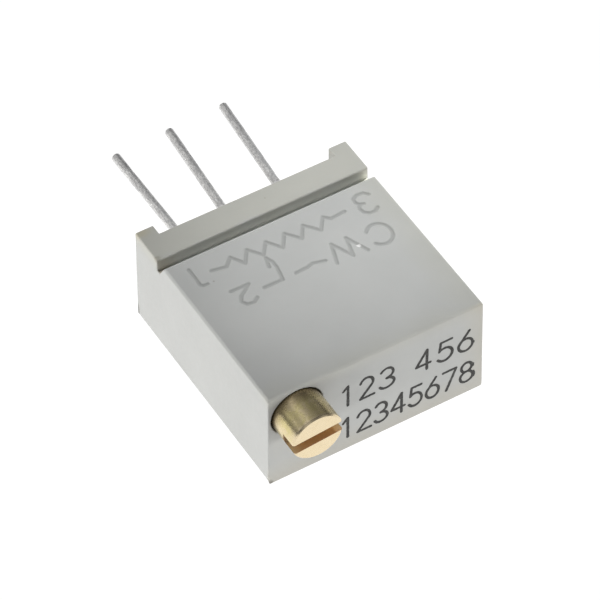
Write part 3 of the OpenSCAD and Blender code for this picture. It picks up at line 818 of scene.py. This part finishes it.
def printed(name, segs, half, seed):
    """Ink laid on the screw face: outlines with slightly uneven edges, a few micrometres thick."""
    h = 0.016
    ragged = lambda x, y: 0.007 * value_noise(x, y, seed, 14.0) + 0.006 * value_noise(x, y, seed + 5, 3.0)
    d, x0, y0 = stroke_field(segs, 0.16, h, ragged)
    pts, edges = [], []
    for loop in contours(d, x0, y0, h, half):
        loop = thin(loop, 0.017)
        k = len(pts)
        pts += loop
        edges += [(k + i, k + (i + 1) % len(loop)) for i in range(len(loop))]
    verts, _, faces, _, _, _ = delaunay_2d_cdt([Vector(p) for p in pts], edges, [], 0, 1e-7, True)
    co = np.array([tuple(v) for v in verts])
    tri = np.array([f[:3] for f in faces])
    c = co[tri].mean(1)
    keep = distance(c[:, 0], c[:, 1], segs) + ragged(c[:, 0], c[:, 1]) < half
    bm = bmesh.new()
    back, front = Y0 + 0.004, Y0 - 0.006
    low = [bm.verts.new((x, back, z)) for x, z in co]
    high = [bm.verts.new((x, front, z)) for x, z in co]
    count = {}
    for f in tri[keep]:
        f = [int(i) for i in f]
        a, b, cc = co[f[0]], co[f[1]], co[f[2]]
        if (b[0] - a[0]) * (cc[1] - a[1]) - (b[1] - a[1]) * (cc[0] - a[0]) < 0:
            f.reverse()
        bm.faces.new([high[i] for i in f])
        bm.faces.new([low[i] for i in reversed(f)])
        for i, j in zip(f, f[1:] + f[:1]):
            count[(i, j)] = 1
    for i, j in count:
        if (j, i) not in count:
            bm.faces.new((high[j], high[i], low[i], low[j]))
    for v in [v for v in bm.verts if not v.link_faces]:
        bm.verts.remove(v)
    return from_bm(name, bm)


upper = [(-1.63, -1.02), (-0.74, -0.13), (0.14, 0.80), (1.78, 2.42), (2.74, 3.42), (3.68, 4.34)]
lower = [(-1.63 + 0.775 * i, -1.04 + 0.775 * i) for i in range(8)]
rows = [("printed_digits_upper", digit_row("123456", upper, 2.51, 1.10), 3), ("printed_digits_lower", digit_row("12345678", lower, 0.68, 1.09), 11)]
for name, segs, seed in rows:
    ob = scale_to_metres(draft(printed(name, segs, 0.063, seed)))
    dress(ob, INK)
    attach(ob, "body")


# ------------------------------------------------------------------ adjustment screw
def worm(name, y0, y1, turns=5, seg=48, pitch=2 * math.pi * 3.30 / 36, r0=0.55, r1=0.90):
    """The threaded length as one closed mesh, right-handed, centred on the rotor's axis."""
    pa = math.tan(math.radians(20))
    hc, hf = 0.10 - 0.15 * pa, 0.10 + 0.20 * pa
    shift = [-hf, -hc, hc, hf]
    count = turns * seg
    bm = bmesh.new()

    def at(a, r, y):
        return bm.verts.new((SX + r * math.cos(a), y, SZ - r * math.sin(a)))

    line = []
    for k in range(4):
        row = []
        for i in range(count + 1):
            s = i / seg
            fade = min(1, min(s, turns - s) * 3)
            r = r0 + ((r1 - r0) * fade if k in (1, 2) else 0)
            row.append(at(2 * math.pi * s, r, ROTOR[1] + (s - turns / 2) * pitch + shift[k]))
        line.append(row)
    lo = [at(2 * math.pi * i / seg, r0, y0) for i in range(seg)]
    hi = [at(2 * math.pi * i / seg, r0, y1) for i in range(seg)]

    def face(*vs):
        vs = [v for i, v in enumerate(vs) if v is not vs[i - 1]]
        if len(vs) > 2:
            bm.faces.new(vs)

    for k in range(3):
        for i in range(count):
            face(line[k][i], line[k + 1][i], line[k + 1][i + 1], line[k][i + 1])
    for i in range(count - seg):
        face(line[3][i], line[0][i + seg], line[0][i + seg + 1], line[3][i + 1])
    for i in range(seg - 1):
        face(lo[i], line[0][i], line[0][i + 1], lo[i + 1])
    for a, b in ((lo[seg - 1], lo[0]), (lo[0], line[0][0]), (line[0][0], line[1][0]), (line[1][0], line[2][0]), (line[2][0], line[3][0]), (line[3][0], line[0][seg])):
        face(line[0][seg - 1], b, a)
    last = count - seg
    for i in range(1, seg):
        face(line[3][last + i], hi[i % seg], hi[(i + 1) % seg], line[3][last + i + 1])
    for a, b in ((line[3][last], line[0][count]), (line[0][count], line[1][count]), (line[1][count], line[2][count]), (line[2][count], line[3][count]), (line[3][count], hi[0]), (hi[0], hi[1])):
        face(line[3][last + 1], a, b)
    bm.faces.new(lo)
    bm.faces.new(hi)
    bmesh.ops.recalc_face_normals(bm, faces=bm.faces)
    bmesh.ops.triangulate(bm, faces=bm.faces)
    return from_bm(name, bm)


def screw():
    c, e = 0.055, 0.018
    y_in = Y0 + 0.265
    head = [(0, Y_HEAD)] + [(0.06, Y_HEAD), (HEAD_R - c - e, Y_HEAD), (HEAD_R - c, Y_HEAD + e * 0.4), (HEAD_R - e * 0.4, Y_HEAD + c), (HEAD_R, Y_HEAD + c + e), (HEAD_R, y_in - 0.03), (HEAD_R - 0.03, y_in)]
    j = 0.92
    body = [(j, y_in), (j, -4.62), (0.62, -4.62), (0.62, -4.20), (j, -4.20), (j, -3.68), (0.62, -3.68), (0.62, -3.36), (j, -3.36), (j, -2.48), (j - 0.03, -2.45), (0, -2.45)]
    ob = lathe("worm_screw", head + body, 160, SX, SZ)
    # driver slot, sawn across the head
    slot = make_box("slot", -HEAD_R - 0.6, HEAD_R + 0.6, Y_HEAD - 0.6, Y_HEAD + 0.72, -0.24, 0.24)
    bm = bmesh.new()
    bm.from_mesh(slot.data)
    inner = [ed for ed in bm.edges if all(v.co.y > Y_HEAD for v in ed.verts) and abs((ed.verts[0].co - ed.verts[1].co).x) > 1]
    bmesh.ops.bevel(bm, geom=inner, offset=0.05, segments=4, profile=0.5, affect="EDGES")
    bm.to_mesh(slot.data)
    bm.free()
    slot.data.transform(Matrix.Rotation(math.radians(-SLOT_TILT), 4, "Y"))
    slot.data.transform(Matrix.Translation((SX, 0, SZ + SLOT_OFF)))
    boolean(ob, slot)
    boolean(ob, worm("thread", -2.55, 1.15), "UNION")
    boolean(ob, lathe("tail", [(0, 1.05), (0.35, 1.05), (0.35, 1.89), (0.29, 1.95), (0, 1.95)], 96, SX, SZ), "UNION")
    return ob


screw_ob = screw()


def soften_slot(ob):
    """Breaks the sharp edges where the slot meets the head's end and side."""
    bm = bmesh.new()
    bm.from_mesh(ob.data)
    bmesh.ops.remove_doubles(bm, verts=bm.verts, dist=2e-5)
    edges = []
    for ed in bm.edges:
        if len(ed.link_faces) != 2 or ed.is_contiguous is False:
            continue
        if all(v.co.y < Y_HEAD + 0.75 for v in ed.verts) and ed.calc_face_angle(0) > math.radians(50) and ed.is_convex:
            edges.append(ed)
    bmesh.ops.bevel(bm, geom=edges, offset=0.012, segments=2, profile=0.5, affect="EDGES", clamp_overlap=True)
    bm.to_mesh(ob.data)
    bm.free()
    ob.data.update()
    return ob


soften_slot(screw_ob)
scale_to_metres(exact_normals(screw_ob, smooth_deg=33))
dress(screw_ob, M["screw_brass"])
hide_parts("adjustment_screw")
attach(screw_ob, "screw")


# ------------------------------------------------------------------ leads
def lead(i):
    lo, hi = box_mm(f"terminal_pin_{i}")
    x = (i - 2) * 2.54
    z = (lo[2] + hi[2]) / 2
    r = 0.19
    bend = (0.235, -0.12, -0.135)[i - 1]
    lean = (0.19, 0.19, 0.23)[i - 1]
    corners = [Vector((x, lo[1], z)), Vector((x, 5.45, z)), Vector((x + bend, 6.35, z)), Vector((x + lean, hi[1] - 0.09, z))]
    path = [corners[0]]
    step = 0.11
    for k in (1, 2):
        a, b, c = corners[k - 1], corners[k], corners[k + 1]
        back, on = (a - b).normalized() * 0.34, (c - b).normalized() * 0.34
        start = path[-1]
        n = max(1, int((b + back - start).length / step))
        path += [start.lerp(b + back, t / n) for t in range(1, n + 1)]
        path += [(b + back) * (1 - t) ** 2 + b * 2 * t * (1 - t) + (b + on) * t * t for t in [q / 8 for q in range(1, 9)]]
    start, end = path[-1], corners[3]
    n = int((end - start).length / step)
    path += [start.lerp(end, t / n) for t in range(1, n)]
    d_end = (end - start).normalized()
    # the cut end: a slightly crowned face with a drawn-over edge
    tail = [(end - d_end * 0.060, 1.0), (end - d_end * 0.030, 0.955), (end - d_end * 0.012, 0.86), (end - d_end * 0.004, 0.72), (end - d_end * 0.001, 0.40)]
    rings = [(p, 1.0) for p in path if (end - p).length > 0.09] + tail
    steps = 40
    bm = bmesh.new()
    loops = []
    run = 0.0
    for k, (p, share) in enumerate(rings):
        a = rings[max(0, k - 1)][0]
        b = rings[min(len(rings) - 1, k + 1)][0]
        t = (b - a).normalized()
        side = Vector((0, 0, 1))
        out = t.cross(side).normalized()
        run += (p - rings[k - 1][0]).length if k else 0
        ring = []
        for s in range(steps):
            ang = 2 * math.pi * s / steps
            lump = 0.0
            if p.y > E_HI[1] + 0.02 and share > 0.9:
                lump = 0.0045 * float(value_noise(run * 1.0, math.cos(ang) * 0.9 + i * 7.3, 21 + i, 2.3)) + 0.0022 * float(value_noise(run, math.sin(ang) * 1.2 + 3.1 * i, 31 + i, 7.0)) - 0.003
            ring.append(bm.verts.new(p + (out * math.cos(ang) + side * math.sin(ang)) * (r * share + lump)))
        loops.append(ring)
    for a, b in zip(loops, loops[1:]):
        for s in range(steps):
            q = (s + 1) % steps
            bm.faces.new((a[s], a[q], b[q], b[s]))
    bm.faces.new(loops[0])
    tip = bm.verts.new(end)
    for s in range(steps):
        bm.faces.new((loops[-1][s], loops[-1][(s + 1) % steps], tip))
    bmesh.ops.recalc_face_normals(bm, faces=bm.faces)
    ob = from_bm(f"lead_{i}", bm)
    for p in ob.data.polygons:
        p.use_smooth = len(p.vertices) < 10
    scale_to_metres(ob)
    dress(ob, M["tinned_lead"])
    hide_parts(f"terminal_pin_{i}")
    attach(ob, "body")
    return ob


for i in (1, 2, 3):
    lead(i)


# ------------------------------------------------------------------ cast sealant with a meniscus on the walls and leads
def seal():
    x0, x1, z0, z1 = E_LO[0], E_HI[0], E_LO[2], E_HI[2]
    pins = [((k - 1) * 2.54, 2.415) for k in range(3)]
    pts, edges = [], []

    def add(loop):
        k = len(pts)
        pts.extend(loop)
        edges.extend((k + i, k + (i + 1) % len(loop)) for i in range(len(loop)))

    nx, nz = 84, 34
    rim = [(x0 + (x1 - x0) * i / nx, z0) for i in range(nx)] + [(x1, z0 + (z1 - z0) * i / nz) for i in range(nz)]
    rim += [(x1 - (x1 - x0) * i / nx, z1) for i in range(nx)] + [(x0, z1 - (z1 - z0) * i / nz) for i in range(nz)]
    add(rim)
    for off in (0.03, 0.07, 0.13, 0.22, 0.36):
        k = len(pts)
        a0, a1, b0, b1 = x0 + off, x1 - off, z0 + off, z1 - off
        pts.extend([(a0 + (a1 - a0) * i / nx, b0) for i in range(nx)] + [(a1, b0 + (b1 - b0) * i / nz) for i in range(nz)] + [(a1 - (a1 - a0) * i / nx, b1) for i in range(nx)] + [(a0, b1 - (b1 - b0) * i / nz) for i in range(nz)])
    holes = []
    for cx, cz in pins:
        ring = [(cx + 0.19 * math.cos(2 * math.pi * s / 40), cz + 0.19 * math.sin(2 * math.pi * s / 40)) for s in range(40)]
        add(ring)
        for rr in (0.205, 0.23, 0.27, 0.33, 0.42, 0.55):
            pts.extend([(cx + rr * math.cos(2 * math.pi * s / 40), cz + rr * math.sin(2 * math.pi * s / 40)) for s in range(40)])
    gx = np.arange(x0 + 0.55, x1 - 0.5, 0.22)
    gz = np.arange(z0 + 0.52, z1 - 0.5, 0.22)
    for a in gx:
        for b in gz:
            if min(math.hypot(a - cx, b - cz) for cx, cz in pins) > 0.66:
                pts.append((float(a), float(b)))
    verts, _, faces, _, _, _ = delaunay_2d_cdt([Vector(p) for p in pts], edges, [], 0, 1e-7, True)
    co = np.array([tuple(v) for v in verts])
    tri = np.array([f[:3] for f in faces])
    c = co[tri].mean(1)
    keep = np.all([np.hypot(c[:, 0] - cx, c[:, 1] - cz) > 0.187 for cx, cz in pins], axis=0)
    wall = np.minimum.reduce([co[:, 0] - x0, x1 - co[:, 0], co[:, 1] - z0, z1 - co[:, 1]])
    near = np.minimum.reduce([np.hypot(co[:, 0] - cx, co[:, 1] - cz) - 0.19 for cx, cz in pins])
    y = E_HI[1] - 0.075 + 0.070 * np.exp(-np.maximum(wall, 0) / 0.13) + 0.072 * np.exp(-np.maximum(near, 0) / 0.09) + 0.006 * value_noise(co[:, 0], co[:, 1], 4, 0.9)
    y = np.minimum(y, E_HI[1])
    bm = bmesh.new()
    top = [bm.verts.new((a, yy, b)) for (a, b), yy in zip(co, y)]
    low = [bm.verts.new((a, E_LO[1], b)) for a, b in co]
    count = set()
    for f in tri[keep]:
        f = [int(k) for k in f]
        a, b, cc = co[f[0]], co[f[1]], co[f[2]]
        if (b[0] - a[0]) * (cc[1] - a[1]) - (b[1] - a[1]) * (cc[0] - a[0]) > 0:
            f.reverse()
        bm.faces.new([top[k] for k in f])
        bm.faces.new([low[k] for k in reversed(f)])
        count.update(zip(f, f[1:] + f[:1]))
    for a, b in count:
        if (b, a) not in count:
            bm.faces.new((top[b], top[a], low[a], low[b]))
    for v in [v for v in bm.verts if not v.link_faces]:
        bm.verts.remove(v)
    ob = from_bm("sealant_fill", bm)
    scale_to_metres(exact_normals(ob, smooth_deg=40))
    dress(ob, M["sealant"])
    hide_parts("epoxy_seal")
    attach(ob, "body")
    return ob


seal()

# ------------------------------------------------------------------ nodes whose triangles include needles are shown by cleaned copies
slots = {s["node"]: s["material_slot"] for s in frame["record"]["subparts"]}


def cleaned(node_name, name, body, smooth_deg):
    """The node's own surface, with its zero-area triangles taken out."""
    bm = bmesh.new()
    bm.from_mesh(nodes[node_name].data)
    bm.transform(Matrix.Scale(MM, 4) @ nodes[node_name].matrix_world)
    bmesh.ops.remove_doubles(bm, verts=bm.verts, dist=1e-6)
    bmesh.ops.dissolve_degenerate(bm, edges=bm.edges, dist=1e-5)
    bmesh.ops.triangulate(bm, faces=[f for f in bm.faces if len(f.verts) > 3])
    bmesh.ops.recalc_face_normals(bm, faces=bm.faces)
    ob = scale_to_metres(exact_normals(from_bm(name, bm), smooth_deg=smooth_deg))
    dress(ob, M[slots[node_name]])
    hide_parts(node_name)
    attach(ob, body)
    return ob


cleaned("rotor_gear", "toothed_rotor", "rotor", 33)
for i in (1, 2, 3):
    cleaned(f"solder_joint_{i}", f"solder_{i}", "body", 50)

# ------------------------------------------------------------------ the CAD nodes that stay keep their shape and get their finish
for name, ob in nodes.items():
    dress(ob, M[slots[name]])

# ------------------------------------------------------------------ floor, light, camera
floor_bm = bmesh.new()
bmesh.ops.create_grid(floor_bm, x_segments=1, y_segments=1, size=1.5)
floor = from_bm("floor", floor_bm)
fm, ft, fb = material("floor_white")
fb.inputs["Base Color"].default_value = (0.15, 0.15, 0.15, 1)
fb.inputs["Roughness"].default_value = 0.9
fb.inputs["Specular IOR Level"].default_value = 0.1
fb.inputs["Emission Color"].default_value = (1, 1, 1, 1)
fb.inputs["Emission Strength"].default_value = 0.985
dress(floor, fm)
floor.location.z = -1e-5

world = bpy.data.worlds.new("world")
scene.world = world
world.use_nodes = True
wt = world.node_tree
wb = wt.nodes["Background"]
way = wt.nodes.new("ShaderNodeTexCoord")
axes = wt.nodes.new("ShaderNodeSeparateXYZ")
wt.links.new(way.outputs["Generated"], axes.inputs[0])


def glow_from(azimuth, elevation, width, strength):
    """A soft bright patch of the studio's walls, centred on a direction in degrees."""
    az_, el_ = math.radians(azimuth), math.radians(elevation)
    way_to = (math.cos(el_) * math.cos(az_), math.cos(el_) * math.sin(az_), math.sin(el_))
    dot = None
    for axis, c in zip("XYZ", way_to):
        term = math_node(wt, "MULTIPLY", axes.outputs[axis], c)
        dot = term if dot is None else math_node(wt, "ADD", dot, term)
    fall = math_node(wt, "EXPONENT", math_node(wt, "MULTIPLY", math_node(wt, "SUBTRACT", dot, 1.0), 1 / (1 - math.cos(math.radians(width)))))
    return math_node(wt, "MULTIPLY", fall, strength)


total = None
for patch in [(118, 49, 18, 0.715), (66, 52, 18, 0.225), (145, 24, 12, 0.66), (40, 28, 12, 0.20), (250, 35, 22, 0.50), (312, 20, 16, 0.40)]:
    part = glow_from(*patch)
    total = math_node(wt, "ADD", 0.05, part) if total is None else math_node(wt, "ADD", total, part)
wt.links.new(total, wb.inputs["Strength"])
wb.inputs["Color"].default_value = (1, 1, 1, 1)


def softbox(name, at, size, radiance, colour=(1, 1, 1), aim=(0, 0, 0.003)):
    """A rectangular lamp of the given brightness."""
    data = bpy.data.lights.new(name, "AREA")
    data.shape, data.size, data.size_y = "RECTANGLE", size[0], size[1]
    data.energy, data.color = radiance * math.pi * size[0] * size[1], colour
    ob = bpy.data.objects.new(name, data)
    scene.collection.objects.link(ob)
    ob.location = at
    ob.rotation_euler = (Vector(aim) - Vector(at)).to_track_quat("-Z", "Y").to_euler()
    return ob


def snoot(name, at, aim, reach, power, size, colour=(1, 1, 1)):
    """A lamp with a soft-edged round pool of light; reach is the pool's radius at the aim."""
    data = bpy.data.lights.new(name, "SPOT")
    data.energy, data.color, data.shadow_soft_size, data.spot_blend = power, colour, size, 1.0
    data.spot_size = 2 * math.atan(reach / (Vector(aim) - Vector(at)).length)
    ob = bpy.data.objects.new(name, data)
    scene.collection.objects.link(ob)
    ob.location = at
    ob.rotation_euler = (Vector(aim) - Vector(at)).to_track_quat("-Z", "Y").to_euler()
    return ob


# wide low lamps at the near and far left, kept out of the metal's reflections
softbox("light_low", (-0.314, -0.155, 0.022), (0.20, 0.06), 13.4, (1.0, 0.98, 0.95)).visible_glossy = False
softbox("light_left_back", (-0.30, 0.22, 0.032), (0.16, 0.08), 26.2, (1.0, 0.98, 0.95)).visible_glossy = False
snoot("light_pool", (0.10, 0.045, 0.20), (0.0036, 0.0013, 0.0048), 0.0127, 2.22, 0.005).visible_glossy = False
softbox("light_front", (0.150, -0.260, 0.014), (0.20, 0.08), 10.1, (1.0, 0.98, 0.95)).visible_glossy = False

AZ, EL, ROLL, DIST, F_PX = -30.68, 48.16, -0.52, 0.1557, 4010.0
TARGET = Vector((-0.000012, 0.000583, 0.002415))
a, e, ro = math.radians(AZ), math.radians(EL), math.radians(ROLL)
back = Vector((math.sin(a) * math.cos(e), -math.cos(a) * math.cos(e), math.sin(e)))
right = (-back).cross(Vector((0, 0, 1))).normalized()
up = right.cross(-back)
right2 = right * math.cos(ro) + up * math.sin(ro)
up2 = -right * math.sin(ro) + up * math.cos(ro)
cam_data = bpy.data.cameras.new("camera")
cam_data.sensor_fit, cam_data.sensor_width = "HORIZONTAL", 36.0
cam_data.lens = F_PX * 36.0 / 600.0
cam_data.clip_start, cam_data.clip_end = 0.01, 10.0
cam = bpy.data.objects.new("camera", cam_data)
scene.collection.objects.link(cam)
rot = Matrix((right2, up2, back)).transposed().to_4x4()
cam.matrix_world = Matrix.Translation(TARGET + back * DIST) @ rot
scene.camera = cam
scene.view_settings.view_transform = "Standard"
